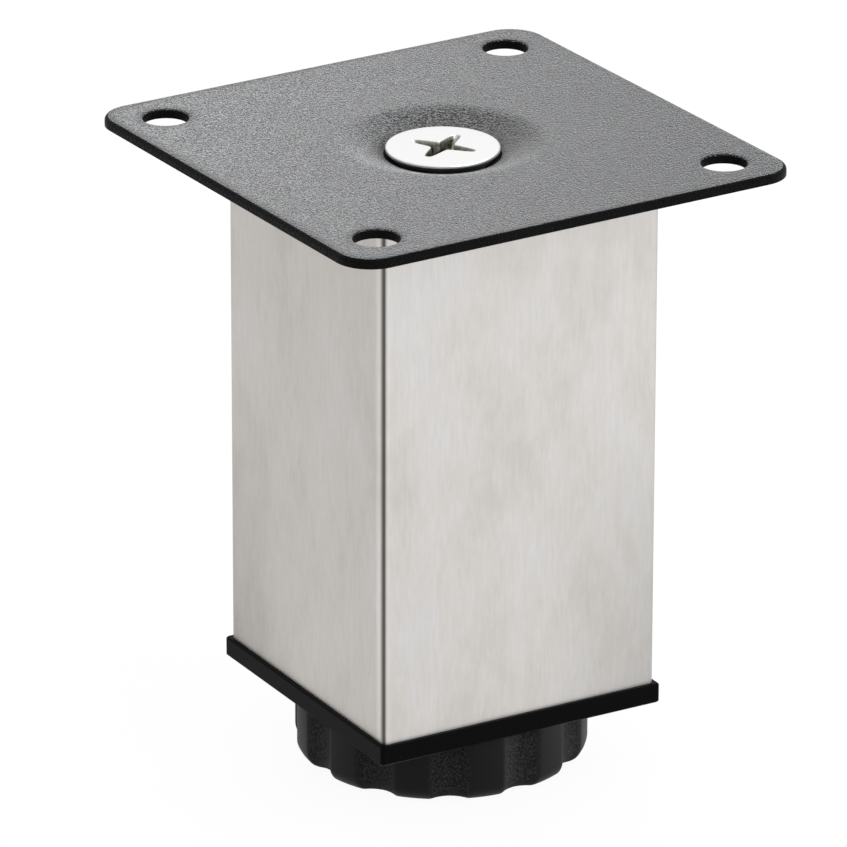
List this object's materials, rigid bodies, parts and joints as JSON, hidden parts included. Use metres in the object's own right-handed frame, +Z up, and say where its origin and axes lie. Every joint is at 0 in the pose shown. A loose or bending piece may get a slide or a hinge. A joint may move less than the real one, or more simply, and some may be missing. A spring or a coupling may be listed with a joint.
{
  "type": "square metal table leg",
  "caption": "Short square tube leg with a drilled square top plate on a countersunk screw and a lobed levelling foot under a plastic cap.",
  "frame": {"origin": "centre of the foot's face on the floor, with the foot screwed fully home", "axes": "+Z up the leg to the top plate, +X and +Y square to the sides of the top plate"},
  "size_m": [0.0816, 0.0816, 0.1046],
  "materials": {
    "plate_paint": "finely textured black powder coat with a low sheen",
    "screw_zinc": "bright zinc plating",
    "tube_metal": "fine brushing along the tube",
    "cap_plastic": "moulded black",
    "nut_zinc": "zinc plating",
    "stud_zinc": "zinc plating",
    "knob_plastic": "moulded black, fine grain in the flutes"
  },
  "bodies": {
    "leg": {"leg_tube": "tube_metal", "top_plate": "plate_paint", "plate_screw": "screw_zinc", "top_plug": "cap_plastic", "top_nut": "nut_zinc", "bottom_cap": "cap_plastic", "foot_nut": "nut_zinc"},
    "stud": {"foot_stud": "stud_zinc"},
    "knob": {"foot_knob": "knob_plastic"}
  },
  "joints": [
    {"name": "foot_travel", "type": "slide", "parent": "leg", "child": "stud", "axis": [0, 0, -1], "range_m": [0, 0.012]},
    {"name": "foot_turn", "type": "hinge", "parent": "stud", "child": "knob", "pos_m": [0, 0, 0], "axis": [0, 0, -1], "range_deg": [0, 2880]}
  ],
  "couplings": [
    {"joint": "foot_travel", "follows": "foot_turn", "m_per_rad": 0.00023873}
  ]
}
